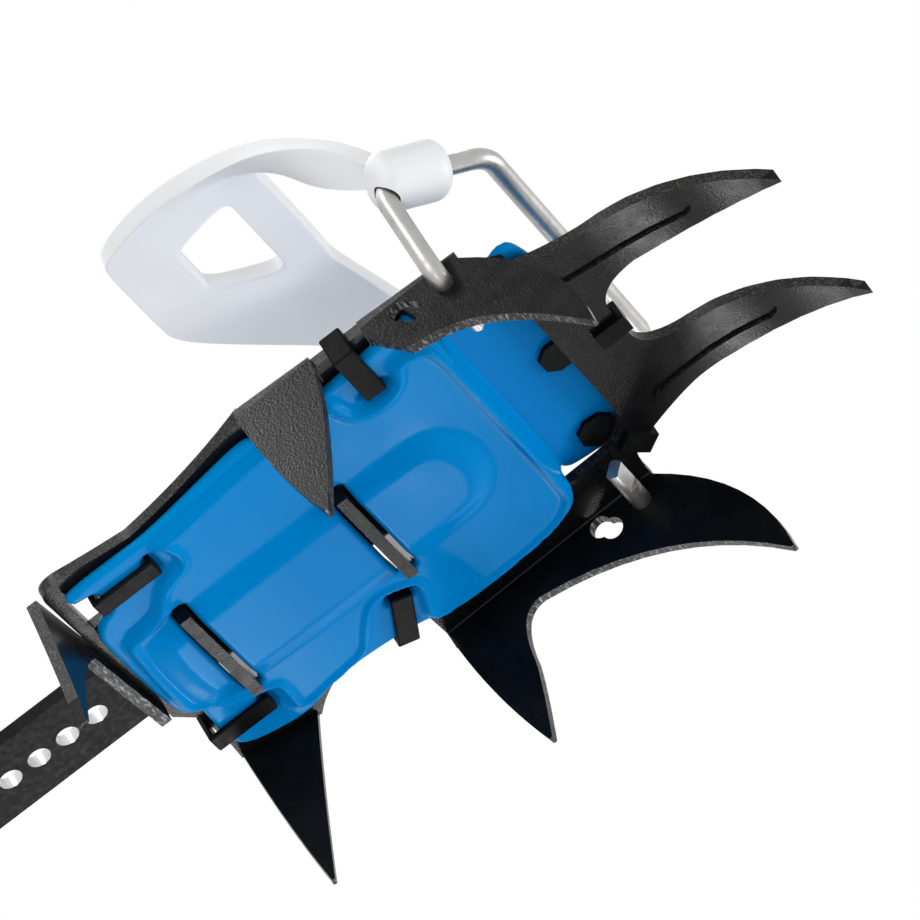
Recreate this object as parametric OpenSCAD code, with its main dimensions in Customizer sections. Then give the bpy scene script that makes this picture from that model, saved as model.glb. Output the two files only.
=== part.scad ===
// Front section of a mountaineering crampon with its linking bar.
// X points to the toe, Y to the wearer's left and Z up to the boot sole.
// The origin lies on the bail axis line of the frame's top face, on the middle plane.

/* [Steel frame] */
// Thickness of the steel sheet
sheet_t = 2.5; // [2:0.1:3.2]
// Half width of the frame at the bail holes, to the middle of the sheet
wall_y = 46.6; // [44:0.2:52]
// Outward lean of the side walls in degrees
splay = 4.9; // [2:0.1:7]
// Angle at which the side walls open towards the rear in degrees
toe_out = 2.3; // [0:0.1:4]
// Outside radius of the frame's bends
bend_r = 1.6; // [1:0.1:2.4]
// Width of the flat rails, from the wall's middle inwards
rail_w = 15; // [12:0.2:18]
// Depth of the downward points below the frame's top face
point_drop = 38.6; // [32:0.2:44]
// Blunt width of every point's tip
tip_w = 0.8; // [0.4:0.1:1.6]

/* [Front points] */
// Reach of the front points ahead of the bail axis
front_reach = 65.2; // [58:0.2:72]
// Inner edge of a front point from the middle plane
blade_in = 13.4; // [12:0.2:16]
// Outer edge of a front point from the middle plane
blade_out = 29.2; // [27:0.2:32]
// Place of a front point's tip from the middle plane
blade_tip_y = 23; // [20:0.2:26]
// Radius of the downward sweep of the front points
sweep_r = 64; // [56:1:80]
// Depth of the pressed groove under each front point
groove_d = 0.8; // [0.3:0.1:1.2]
// Width of the pressed groove
groove_w = 7; // [5:0.2:8]

/* [Cross ribs] */
// Thickness of the cross ribs
rib_t = 2.6; // [2:0.1:3.2]
// Half width of the ribs' deep middle
rib_half = 16.5; // [13:0.5:19]
// Depth of the ribs below the frame's top face
rib_d = 9.4; // [8.5:0.1:11]
// Place of the middle rib along the frame
mid_rib_x = -45; // [-48:0.5:-42]
// Distance of the rear rib ahead of the frame's rear wall
rear_rib_gap = 18.8; // [17:0.2:22]

/* [Linking bar] */
// Width of the linking bar
bar_w = 21.4; // [19:0.2:24]
// Thickness of the linking bar
bar_t = 3; // [2.4:0.1:3.6]
// Diameter of the length holes
bar_hole_d = 5.2; // [4.6:0.1:6]
// Distance between the length holes
bar_pitch = 7.4; // [6.8:0.1:9]
// Number of length holes
bar_holes = 13; // [6:1:16]
// Place of the first length hole along the bar
bar_first_x = -113.7; // [-118:0.1:-112]

/* [Toe bail and harness] */
// Diameter of the bail wire
wire_d = 4.4; // [3.8:0.1:4.8]
// Height of the bail's shoulders above the bail axis
bail_h = 28.5; // [24:0.5:32]
// Reach of the bail's end pins inside the side walls
pin_reach = 13.5; // [8:0.5:14]
// Thickness of the pins between their ground flats
pin_flat = 2.6; // [2:0.1:3.6]
// Reach of the bail's bow ahead of the bail axis
bail_reach = 20.6; // [18:0.2:24]
// Half width of the bow between its corners
bow_half = 38; // [34:0.5:42]
// Radius of the wire's bends at their middle line
wire_bend = 7; // [6:0.2:8]
// Outside diameter of the harness barrels
barrel_d = 13; // [11:0.2:15]
// Thickness of the harness
harness_t = 4.2; // [3:0.1:5]
// Height of the harness above the bail's shoulders
harness_h = 64; // [54:1:74]

/* [Anti-balling plate] */
// Thickness of the moulded plate
plate_t = 2.4; // [1.8:0.1:3]
// Depth of the raised panel below the plate's rim
panel_d = 1.6; // [1:0.1:2.2]
// Depth of the dome below the panel
dome_d = 2.2; // [1:0.1:3]

/* [Clips] */
// Thickness of the clip strip
clip_t = 1.2; // [0.8:0.1:1.6]
// Width of the clip strip
clip_w = 5; // [4:0.2:6.4]

/* [Fits] */
// Radial running clearance of the bail ends in the frame
pivot_gap = 0.08; // [0.02:0.01:0.1]
// Clearance between pieces that lie on each other
seat_gap = 0.3; // [0.2:0.05:0.4]

/* [Hidden] */
$fn = 48;
curve_n = 10;
hull_fn = 24;
overlap = 0.4;
least_edge = 0.01;
skin = 0.02;

// Depth of the bail axis below the frame's top face
bail_z = -6.5;
// Spare bail holes, behind the first pair
spare_x = -9.3;
spare_z = -6.6;
spare_d = 4.9;
spare_len = 7.6;

// Bend of the side rails: centres of its outside and inside arcs from the wall's middle, in Y and Z
function bend_centre(z, reach) = [(bail_z - z) * tan(splay) + reach / cos(splay), z];
bend_in_r = 0.5;
bend_out = bend_centre(-bend_r, sheet_t / 2 - bend_r);
bend_in = bend_centre(-sheet_t - bend_in_r, -sheet_t / 2 - bend_in_r);
bend_leg = 4;
rail_in = wall_y - rail_w;
wall_top = -sheet_t - bend_in_r;

// Side points along the walls
front_root = 5;
front_tip = 20.8;
front_belly = [-6, -16.4];
front_corner = [-12.6, -15.3];
front_end = -19;
waist = [-28.8, -9.7];
mid_hip = [-37.3, -21.8];
mid_tip = -43.6;
mid_rear = -49.6;
mid_front = -30.9;

// Rear points, rooted in the middle of the sheet
root_z = -sheet_t / 2;
rear_x = -103.8;
rear_rib_x = rear_x + rear_rib_gap;
rear_lean = 3;
rear_turn = -3;
rear_out = -40.4;
rear_in = -25;
rear_tip = -45.4;
flange_z = -6.6;
flange_end = 9.5;
side_rear = rear_x + 4.8;
side_front = side_rear + 18.6;
side_tip = side_rear + 3.2;
side_y = 42.2;
side_turn = 13;
side_lean = 10;

// Rail edges that the rear clips hook on, and the window behind the right one
tab_x = rear_x + 8.6;
tab_len = 7.6;
tail_x = rear_x + 5.2;
window_w = 5.4;
rail_waist = -82;

// Front plate
web_front = 20.8;
web_rear = 8;
sweep_x = 25;
notch_half = 7.4;
web_fillet = 11.2;
shoulder = [9.8, 34.4];
front_join = wall_y - 4.2;

// Bail wire, from one end pin round to the other
wire_r = wire_d / 2;
pivot_r = wire_r + pivot_gap;
pin_bend = 1.6 * wire_r;
pin_in = wall_y - sheet_t / 2 - pin_reach;
pin_flat_len = 7;
pin_turn = 42;
leg_y = wall_y + sheet_t / 2 + seat_gap + pin_bend;
bail_top = bail_z + bail_h;
half_bail = [[0, pin_in, bail_z], [0, leg_y, bail_z], [0, leg_y, bail_top], [bail_reach, bow_half, bail_top]];
bail_path = concat(half_bail, [for (i = [3:-1:0]) [half_bail[i][0], -half_bail[i][1], half_bail[i][2]]]);
bend_swell = 0.02;
bend_lap = 0.3;
bail_bends = [0, pin_bend, wire_bend, wire_bend, wire_bend, wire_bend, pin_bend, 0];

// Harness: its front and rear edges from the middle plane down to the left barrel, with heights as shares
barrel_start = -1;
barrel_len = 16.6;
barrel_round = 4;
harness_front = [
    [-22, 0, 0.885], [-22.2, 18, 0.87], [-19.8, 25.4, 0.815], [-16, 31, 0.69], [-12, 35.5, 0.51],
    [-8, 39.5, 0.3], [-2, 43.5, 0.12], [6, 45.5, 0.0]
];
harness_rear = [
    [-61, 0, 1.0], [-60.4, 18, 0.985], [-47, 28.6, 0.89], [-35, 35.1, 0.79], [-19.6, 41.7, 0.64],
    [-9, 45, 0.465], [0, 48, 0.26], [5, 49.5, 0.06]
];
window_rear = [-47, 8];
window_front = [-31, 15.4];

// Linking bar
bar_recess = 1.4;
bar_z = seat_gap - bar_recess;
hook_gap = 2.4;
hook_x = mid_rib_x + rib_t / 2 + hook_gap;
hook_drop = 2.8;
hook_w = 12;
bar_end = bar_first_x - (bar_holes - 1) * bar_pitch - 10;

// Anti-balling plate
rim_z = -sheet_t - seat_gap / 3;
rim_low = rim_z - plate_t;
panel_low = rim_low - panel_d;
dome_low = panel_low - dome_d;
shelf_z = clip_t + 2 * seat_gap / 3;
step_x = -8.6;
plate_half = wall_y - 5.5;
slot_gap = 0.8;
dome_front = -17;
dome_rear = -100;
dome_slope = 4;
plate_front = 19;
step_half = rail_in - 4;
shelf_half = rail_in + 1;
shelf_neck = 1.6;
plate_rear = rear_x + 2.4;

// Clips
jaw_z = -sheet_t - seat_gap / 2;
tail_d = 8.4;
clip_lip = 2.2;
corner_turn = 52;
corner_run = 8.4;

// Points along a curve that starts at a, leans towards b and ends at c
function bow(a, b, c) =
    [for (i = [0:curve_n]) let (k = i / curve_n) (1 - k) * (1 - k) * a + 2 * k * (1 - k) * b + k * k * c];

// Points along an arc about a centre
function arc(centre, r, from, to) =
    [for (i = [0:curve_n]) let (a = from + (to - from) * i / curve_n) centre + r * [cos(a), sin(a)]];

// A closed outline without repeated points
module outline(points) {
    last = len(points) - 1;
    polygon([for (i = [0:last]) if (norm(points[i] - points[i == last ? 0 : i + 1]) > least_edge) points[i]]);
}

// A sheet outline in X and Z, given its thickness along Y about y = 0
module upright(thick) {
    rotate([90, 0, 0])
        linear_extrude(thick, center = true)
            children();
}

// One side's place: +1 is the wearer's left, -1 the right
module on_side(side) {
    mirror([0, side < 0 ? 1 : 0, 0])
        translate([0, wall_y, 0])
            rotate([0, 0, -toe_out])
                children();
}

// A plate that hangs in the plane of a splayed side wall
module side_plate() {
    translate([0, 0, bail_z])
        rotate([splay, 0, 0])
            translate([0, 0, -bail_z])
                upright(sheet_t)
                    children();
}

// The rounded bend between a rail and its wall, from x0 to x1
module rail_bend(x0, x1) {
    drop = bend_leg * [sin(splay), -cos(splay)];
    face = [cos(splay), sin(splay)];
    r_out = bend_r - skin;
    r_in = bend_in_r + skin;
    translate([x0, 0, 0])
        rotate([90, 0, 90])
            linear_extrude(x1 - x0)
                outline(concat(
                    [[-rail_w, skin - sheet_t], [-rail_w, -skin]],
                    arc(bend_out, r_out, 90, splay),
                    [bend_out + r_out * face + drop, bend_in + r_in * face + drop],
                    arc(bend_in, r_in, splay, 90)
                ));
}

// The front point of a side, down from its wall
function front_edge() = bow([front_root, wall_top], [front_tip + 2.2, -18.5], [front_tip, -point_drop]);
function mid_rear_edge() =
    bow([mid_tip - tip_w / 2, -point_drop], [mid_rear + 0.4, -22], [mid_rear, wall_top]);

// The left wall runs on from the front point to the middle point
module left_wall_outline() {
    outline(concat(
        front_edge(),
        bow([front_tip - tip_w, -point_drop], [2, -15], waist),
        bow(waist, [-35.6, -9.2], mid_hip),
        bow(mid_hip, [-39, -28], [mid_tip + tip_w / 2, -point_drop]),
        mid_rear_edge()
    ));
}

// The right wall has a gap between its front and middle points
module right_front_outline() {
    outline(concat(
        front_edge(),
        bow([front_tip - tip_w, -point_drop], [6, -19], front_belly),
        [front_corner, [front_end + 0.6, -7.2], [front_end, wall_top]]
    ));
}

module right_mid_outline() {
    outline(concat(
        bow([mid_front, wall_top], [mid_front - 1.4, -15], [mid_tip + tip_w / 2, -point_drop]),
        mid_rear_edge()
    ));
}

// Transverse wall at the rear with the right rear point, in Y and Z
module rear_wall_outline() {
    outline(concat(
        bow([rear_out, root_z], [rear_out - 1.6, -20], [rear_tip - tip_w / 2, -point_drop]),
        bow([rear_tip + tip_w / 2, -point_drop], [rear_in - 7, -14], [rear_in + 4, flange_z]),
        [[flange_end, flange_z], [flange_end, root_z]]
    ));
}

module rear_side_outline() {
    outline(concat(
        bow([side_front, root_z], [side_front - 7, -17], [side_tip + tip_w / 2, -point_drop]),
        bow([side_tip - tip_w / 2, -point_drop], [side_rear + 0.5, -22], [side_rear, root_z])
    ));
}

// Half of the front plate with its front point, in plan
module blade_plan() {
    outline(concat(
        [[web_rear, 0], [web_front, 0]],
        bow([web_front, notch_half - 3], [web_front, blade_in - 1], [sweep_x + 6, blade_in]),
        bow([sweep_x + 12, blade_in], [front_reach - 12, blade_in + 1], [front_reach, blade_tip_y - tip_w / 2]),
        bow([front_reach, blade_tip_y + tip_w / 2], [front_reach - 16, blade_out - 0.5], [sweep_x + 10, blade_out]),
        bow([sweep_x + 4, blade_out], [sweep_x - 3, blade_out], shoulder),
        bow([shoulder[0] - 3, shoulder[1] + 1], [front_root, shoulder[1] + 2], [front_root, front_join]),
        bow([web_rear - web_fillet, rail_in + overlap], [web_rear, rail_in], [web_rear, rail_in - web_fillet])
    ));
}

// A band of sheet that runs level and then sweeps down, between two depths below its top
module swept_band(top, low) {
    half = blade_out + 20;
    upright(2 * half)
        outline(concat(
            [[-10, -low], [-10, -top], [sweep_x, -top]],
            arc([sweep_x, -sweep_r], sweep_r - top, 90, 30),
            arc([sweep_x, -sweep_r], sweep_r - low, 30, 90)
        ));
}

// Outline of the pressed groove, in plan
module groove_plan() {
    mid = (blade_in + blade_out) / 2;
    near = groove_w / 2;
    outline(concat(
        bow([web_front - 5, mid + near + 1], [sweep_x + 4, mid + near], [sweep_x + 20, mid + near - 0.5]),
        bow([sweep_x + 20, mid + near - 0.5], [sweep_x + 25, mid], [sweep_x + 20, mid - near + 0.5]),
        bow([sweep_x + 20, mid - near + 0.5], [sweep_x + 4, mid - near], [web_front - 3, mid - 1])
    ));
}

module front_plate() {
    for (side = [1, -1])
        mirror([0, side < 0 ? 1 : 0, 0])
            difference() {
                intersection() {
                    translate([0, 0, -point_drop])
                        linear_extrude(2 * point_drop)
                            blade_plan();
                    swept_band(0, sheet_t);
                }
                intersection() {
                    translate([0, 0, -point_drop])
                        linear_extrude(2 * point_drop)
                            groove_plan();
                    swept_band(sheet_t - groove_d, sheet_t + groove_d);
                }
            }
}

// Flat rails behind the side walls, in plan
module right_rail_plan() {
    inner = wall_y - rail_w;
    waist_y = wall_y - 6.8;
    corner = [rear_x + 0.2, rear_out + 1.4];
    outline(concat(
        bow([mid_rear + 1, -wall_y - 2], [rail_waist + 18, -waist_y - 2.4], [rail_waist, -waist_y]),
        bow([rail_waist, -waist_y], [rail_waist - 10, -waist_y - 1.4], [corner[0] + 5, corner[1] - 3.6]),
        bow([corner[0] + 5, corner[1] - 3.6], [corner[0], corner[1] - 4], corner),
        [[rear_x + overlap, flange_end - overlap], [rear_x + 6, flange_end - overlap]],
        [[tab_x, rear_in + 4], [tab_x + tab_len, rear_in + 2], [tab_x + tab_len, -inner], [mid_rear + 1, -inner]]
    ));
}

module left_rail_plan() {
    inner = wall_y - rail_w - 3;
    outline(concat(
        bow([mid_rear + 1, wall_y - 4], [mid_rear - 1, wall_y - 12.4], [-64, wall_y - 12.4]),
        bow([-64, wall_y - 12.4], [-74, wall_y - 12], [side_front, side_y + 0.8]),
        [[side_rear, side_y - 3.4], [tail_x, side_y - 9], [tail_x, 20], [rear_x + 1, 14]],
        [[rear_x + 1, flange_end - 2], [rear_x + 7, flange_end - 2]],
        [[rear_x + 11, inner], [mid_rear + 1, inner]]
    ));
}

// Rails with the strip between the right points and the rear window
module rail_plan() {
    difference() {
        right_rail_plan();
        translate([tab_x - window_w, rear_in - 10])
            square([window_w, 11]);
    }
    left_rail_plan();
    translate([mid_front - 1, -wall_y])
        square([front_end - mid_front + 2, rail_w]);
}

module bail_holes() {
    for (side = [1, -1]) {
        translate([0, side * wall_y, bail_z])
            rotate([90, 0, 0])
                cylinder(h = 6 * sheet_t, r = pivot_r, center = true);
        for (shift = [-0.5, 0.5]) {
            reach = shift * (spare_len - spare_d);
            translate([spare_x + reach * cos(45), side * wall_y, spare_z - reach * sin(45)])
                rotate([90, 0, 0])
                    cylinder(h = 6 * sheet_t, d = spare_d, center = true);
        }
    }
}

module toe_frame() {
    color([0.06, 0.06, 0.065])
        difference() {
            union() {
                front_plate();
                on_side(1) {
                    rail_bend(mid_rear, front_root);
                    side_plate() left_wall_outline();
                }
                on_side(-1) {
                    rail_bend(front_end, front_root);
                    rail_bend(mid_rear, mid_front);
                    side_plate() right_front_outline();
                    side_plate() right_mid_outline();
                }
                translate([0, 0, -sheet_t])
                    linear_extrude(sheet_t)
                        rail_plan();
                translate([rear_x, 0, 0])
                    rotate([0, rear_lean, rear_turn])
                        rotate([90, 0, 90])
                            linear_extrude(sheet_t, center = true)
                                rear_wall_outline();
                translate([side_front, side_y, 0])
                    rotate([side_lean, 0, side_turn])
                        translate([-side_front, 0, 0])
                            upright(sheet_t)
                                rear_side_outline();
            }
            bail_holes();
            translate([rear_x - rail_w, -bar_w / 2 - seat_gap, -bar_recess])
                cube([2 * rail_w, bar_w + 2 * seat_gap, 2 * bar_recess]);
        }
}

// A rib that stands on edge between the rails, with its deep middle
module cross_rib(x, y0, y1) {
    shallow = sheet_t;
    recess = bar_w / 2 + seat_gap;
    color([0.06, 0.06, 0.065])
        translate([x, 0, 0])
            rotate([90, 0, 90])
                linear_extrude(rib_t, center = true)
                    outline(concat(
                        [[y0, 0], [y0, -shallow]],
                        bow([-rib_half - 4, -shallow], [-rib_half, -shallow], [-rib_half, -rib_d]),
                        bow([rib_half, -rib_d], [rib_half, -shallow], [rib_half + 4, -shallow]),
                        [[y1, -shallow], [y1, 0], [recess, 0], [recess, -bar_recess], [-recess, -bar_recess]],
                        [[-recess, 0]]
                    ));
}

module mid_cross_rib() {
    reach = wall_y - rail_w - mid_rib_x * tan(toe_out) - seat_gap / 2;
    cross_rib(mid_rib_x, -reach, reach);
}

module rear_cross_rib() {
    reach = wall_y - rail_w - seat_gap / 3;
    cross_rib(rear_rib_x, -reach, reach - 3);
}

// Linking bar: hooked over the middle rib, with a row of length holes
module linking_bar() {
    color([0.05, 0.05, 0.05])
        difference() {
            union() {
                translate([bar_end + bar_w / 2, -bar_w / 2, bar_z])
                    cube([hook_x - bar_end - bar_w / 2 + bar_t, bar_w, bar_t]);
                translate([bar_end + bar_w / 2, 0, bar_z])
                    cylinder(h = bar_t, d = bar_w);
                translate([hook_x, -hook_w / 2, bar_z - hook_drop])
                    cube([bar_t, hook_w, hook_drop + overlap]);
            }
            for (i = [0:bar_holes - 1])
                translate([bar_first_x - i * bar_pitch, 0, bar_z - overlap])
                    cylinder(h = bar_t + 2 * overlap, d = bar_hole_d);
        }
}

// Plan of the moulded plate behind its front step, with its notches for the clips
module plate_plan() {
    inner = plate_half;
    outline(concat(
        [[step_x, -inner + 8], [step_x, inner - 11]],
        bow([step_x - 1, inner - 9], [step_x - 1.6, inner - 5.6], [step_x - 8.6, inner - 2.4]),
        [[mid_rear + 8, inner - 1.4], [mid_rear + 1.4, inner - 2.2]],
        bow([mid_rear - 0.6, inner - 5.4], [mid_rear - 8, inner - 5.8], [mid_rear - 19, inner - 7.4]),
        bow([mid_rear - 19, inner - 7.4], [side_front + 4, inner - 7], [side_front + 1, inner - 4.2]),
        bow([side_front - 5, inner - 4], [side_rear + 1, inner - 7.6], [tail_x + 0.8, inner - 12]),
        [[tail_x + 1.6, 19], [tail_x + 2, 13.8], [plate_rear, 13.6], [plate_rear, rear_in + 3.4]],
        bow([plate_rear, rear_in + 1], [plate_rear + 3, rear_in - 2.6], [tab_x + 0.4, rear_in - 3]),
        bow([tab_x + 0.4, rear_in - 8], [tab_x - 3.6, rear_in - 9], [plate_rear + 0.6, rear_in - 10.4]),
        bow([plate_rear - 0.2, rear_in - 11.4], [plate_rear + 1, -inner + 2.4], [rail_waist - 10, -inner + 2.2]),
        bow([rail_waist - 4, -inner + 2.4], [rail_waist + 6, -inner + 1.6], [mid_rear - 10, -inner - 1]),
        [[mid_rear, -inner], [mid_front, -inner], [front_end, -inner + 1]]
    ));
}

// Panel that stands lower than the rim
module panel_plan() {
    inner = plate_half;
    outline(concat(
        [[step_x - 2.4, -inner + 11], [step_x - 2.4, inner - 13]],
        bow([step_x - 3, inner - 11], [step_x - 4, inner - 8.4], [step_x - 9, inner - 5.6]),
        [[mid_rear + 5, inner - 4.4]],
        bow([mid_rear + 2.6, inner - 8], [mid_rear + 1, inner - 15], [mid_rear - 9, inner - 14]),
        [[side_front, 19.6], [plate_rear + 5, 12.6], [plate_rear + 2.4, 10], [plate_rear + 2.4, -16]],
        bow([plate_rear + 6, -20], [rear_rib_x - 4, -20.6], [rear_rib_x + 3, -24]),
        bow([rear_rib_x + 4, -30], [rear_rib_x + 6, -inner + 5], [rear_rib_x + 14, -inner + 5.4]),
        [[mid_rear - 6, -inner + 3], [mid_front, -inner + 3]],
        bow([mid_front + 1, -inner + 11], [front_end, -inner + 12], [front_end + 2, -inner + 7])
    ));
}

module dome_shape() {
    span = rib_half - 2;
    hull() {
        translate([dome_front - span, 0, panel_low])
            cylinder(h = overlap, r = span, $fn = hull_fn);
        translate([dome_front - span, 0, dome_low])
            cylinder(h = overlap, r = span - dome_slope, $fn = hull_fn);
        translate([dome_rear + span, 0, panel_low])
            cylinder(h = overlap, r = span, $fn = hull_fn);
        translate([dome_rear + span, 0, dome_low])
            cylinder(h = overlap, r = span - dome_slope, $fn = hull_fn);
    }
}

module rib_slot(x) {
    wide = rib_t + 2 * slot_gap;
    long = 2 * (rib_half + 4 + slot_gap);
    translate([x - wide / 2, -long / 2, -3 * rib_d])
        cube([wide, long, 3 * rib_d]);
}

// Shelf that passes over the front plate, in plan
module shelf_plan() {
    outline([for (side = [1, -1]) each let (
        edge = concat(
            [[step_x - plate_t, step_half], [step_x + shelf_neck, step_half], [step_x + 3 * shelf_neck, shelf_half]],
            bow(shoulder, [plate_front - 2, shoulder[1] + 2], [plate_front, blade_out - 3])
        ),
        last = len(edge) - 1
    ) [for (i = [0:last]) side > 0 ? edge[i] : [edge[last - i][0], -edge[last - i][1]]]]);
}

module antiball_plate() {
    color([0.0, 0.42, 0.78])
        difference() {
            union() {
                translate([0, 0, rim_low])
                    linear_extrude(plate_t)
                        plate_plan();
                translate([0, 0, panel_low])
                    linear_extrude(plate_t)
                        panel_plan();
                dome_shape();
                translate([step_x - plate_t + skin, overlap - step_half, rim_low + skin])
                    cube([plate_t - 2 * skin, 2 * (step_half - overlap), shelf_z - rim_low + plate_t / 2]);
                translate([0, 0, shelf_z])
                    linear_extrude(plate_t)
                        shelf_plan();
            }
            rib_slot(mid_rib_x);
            rib_slot(rear_rib_x);
            translate([hook_x - 2 * hook_gap, -hook_w / 2 - slot_gap, rim_low + 0.6])
                cube([bar_t + 3 * hook_gap, hook_w + 2 * slot_gap, 2 * hook_drop]);
            clip_pockets();
        }
}

// Strip of a clip, drawn as points in its own plane and given its width
module strip(points, width) {
    upright(width)
        polygon(points);
}

// Profile of a C shaped clip: jaws of two lengths round an edge of a given height, the lower one with a lip
function clip_profile(low_len, top_len, low, top, lip) = [
    [-low_len, low + lip], [-low_len - (lip > 0 ? clip_t : 0), low + lip],
    [-low_len - (lip > 0 ? clip_t : 0), low - clip_t], [clip_t + seat_gap, low - clip_t],
    [clip_t + seat_gap, top + clip_t], [-top_len, top + clip_t], [-top_len, top],
    [seat_gap, top], [seat_gap, low], [-low_len, low]
];

// Clips that hold the plate's shelf on the front plate: a jaw in front and a tail behind
// Each place is the edge's point, the turn outwards and the run back to the tail
front_clip_places = [
    [web_front, 0, 0, web_front - web_rear - 1],
    [shoulder[0] - 1, -shoulder[1] - 1, -corner_turn, corner_run],
    [shoulder[0] - 1, shoulder[1] + 1, corner_turn, corner_run]
];

module front_clip_at(place) {
    top = seat_gap / 3;
    translate([place[0], place[1], 0])
        rotate([0, 0, place[2]]) {
            strip(clip_profile(6, place[3], jaw_z, top, 0), clip_w);
            translate([-place[3] - tail_d / 2 + 2, 0, top + skin])
                rotate([0, 0, 22.5])
                    cylinder(h = clip_t - 2 * skin, d = tail_d / cos(22.5), $fn = 8);
        }
}

module front_clip() {
    color([0.07, 0.07, 0.07])
        front_clip_at(front_clip_places[0]);
}

module front_clip_right() {
    color([0.07, 0.07, 0.07])
        front_clip_at(front_clip_places[1]);
}

module front_clip_left() {
    color([0.07, 0.07, 0.07])
        front_clip_at(front_clip_places[2]);
}

// Clips round the rails: each place is the edge's point, the turn outwards and the lower jaw's length
side_right_place = [-25, -wall_y, -90, 13];
side_left_place = [-55.5, wall_y - 10.6, 112, 12];
rear_right_place = [tab_x, -31.4, 180, 12.4];
rear_left_place = [tail_x - seat_gap, 25.5, 180, 12.6];

module rail_clip_at(place) {
    translate([place[0], place[1], 0])
        rotate([0, 0, place[2]])
            strip(clip_profile(place[3], 7, rim_low - seat_gap / 3, seat_gap / 3, clip_lip), clip_w);
}

module clip_pockets() {
    for (place = [side_right_place, side_left_place, rear_right_place, rear_left_place])
        translate([place[0], place[1], 0])
            rotate([0, 0, place[2]])
                translate([0, -clip_w / 2 - slot_gap, -3 * rib_d]) {
                    translate([-place[3] - clip_t - slot_gap, 0, 0])
                        cube([place[3] + 5 * clip_t, clip_w + 2 * slot_gap, 3 * rib_d + rim_low]);
                    translate([-place[3] - clip_t - slot_gap, 0, 0])
                        cube([clip_t + 2 * slot_gap, clip_w + 2 * slot_gap, 3 * rib_d]);
                    cube([clip_t + 2 * seat_gap, clip_w + 2 * slot_gap, 3 * rib_d]);
                }
}

module side_clip_right() {
    color([0.07, 0.07, 0.07])
        rail_clip_at(side_right_place);
}

module side_clip_left() {
    color([0.07, 0.07, 0.07])
        rail_clip_at(side_left_place);
}

module rear_clip_right() {
    color([0.07, 0.07, 0.07])
        rail_clip_at(rear_right_place);
}

module rear_clip_left() {
    color([0.07, 0.07, 0.07])
        rail_clip_at(rear_left_place);
}

function unit(v) = v / norm(v);

// Turn at one point of a wire path, in degrees, and how far its bend reaches along each straight
function wire_turn(path, i) = acos(unit(path[i] - path[i - 1]) * unit(path[i + 1] - path[i]));
function wire_reach(path, bends, i) = bends[i] == 0 ? 0 : bends[i] * tan(wire_turn(path, i) / 2);

// A straight round rod between two points
module rod(from, to, r) {
    z = unit(to - from);
    x = unit(abs(z[2]) < 0.9 ? cross(z, [0, 0, 1]) : cross(z, [1, 0, 0]));
    y = cross(z, x);
    multmatrix([
        [x[0], y[0], z[0], from[0]], [x[1], y[1], z[1], from[1]], [x[2], y[2], z[2], from[2]], [0, 0, 0, 1]
    ])
        cylinder(h = norm(to - from), r = r);
}

// A round bend of a wire at one point of its path
module wire_corner(path, bends, i, r) {
    a = unit(path[i] - path[i - 1]);
    b = unit(path[i + 1] - path[i]);
    turn = wire_turn(path, i);
    z = unit(cross(a, b));
    centre = path[i] + unit(b - a) * bends[i] / cos(turn / 2);
    x = unit(path[i] - a * wire_reach(path, bends, i) - centre);
    multmatrix([
        [x[0], a[0], z[0], centre[0]], [x[1], a[1], z[1], centre[1]], [x[2], a[2], z[2], centre[2]], [0, 0, 0, 1]
    ])
        rotate_extrude(angle = turn)
            translate([bends[i], 0])
                circle(r + bend_swell);
}

// A wire bent along a path, with a bend radius for each inner point
module bent_wire(path, bends, r) {
    last = len(path) - 1;
    for (i = [0:last - 1]) {
        d = unit(path[i + 1] - path[i]);
        from = path[i] + d * (i == 0 ? 0 : wire_reach(path, bends, i) - bend_lap);
        to = path[i + 1] - d * (i + 1 == last ? 0 : wire_reach(path, bends, i + 1) - bend_lap);
        rod(from, to, r);
    }
    for (i = [1:last - 1])
        wire_corner(path, bends, i, r);
}

// Flats ground on both faces of an end pin
module pin_flats() {
    translate([0, pin_in - overlap, bail_z])
        rotate([0, pin_turn, 0])
            for (start = [pin_flat / 2, -pin_flat / 2 - wire_d])
                translate([start, 0, -wire_d])
                    cube([wire_d, pin_flat_len + overlap, 2 * wire_d]);
}

module toe_bail() {
    color([0.72, 0.7, 0.68])
        difference() {
            bent_wire(bail_path, bail_bends, wire_r);
            for (side = [1, -1])
                mirror([0, side < 0 ? 1 : 0, 0])
                    pin_flats();
        }
}

// Rounded sleeve of the harness round the bail's left shoulder
module barrel() {
    d = unit(half_bail[3] - half_bail[2]);
    start = half_bail[2] + barrel_start * d;
    r = barrel_d / 2;
    z = d;
    x = [0, 0, 1];
    y = cross(z, x);
    multmatrix([
        [x[0], y[0], z[0], start[0]], [x[1], y[1], z[1], start[1]], [x[2], y[2], z[2], start[2]], [0, 0, 0, 1]
    ])
        rotate_extrude()
            outline(concat(
                [[0, 0]],
                arc([r - barrel_round, barrel_round], barrel_round, -90, 0),
                arc([r - barrel_round, barrel_len - barrel_round], barrel_round, 0, 90),
                [[0, barrel_len]]
            ));
}

// Curved band of the harness: edge points from the right barrel over to the left one
function both_halves(edge) = concat(
    [for (i = [len(edge) - 1:-1:1]) [edge[i][0], -edge[i][1], edge[i][2]]],
    edge
);

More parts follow.
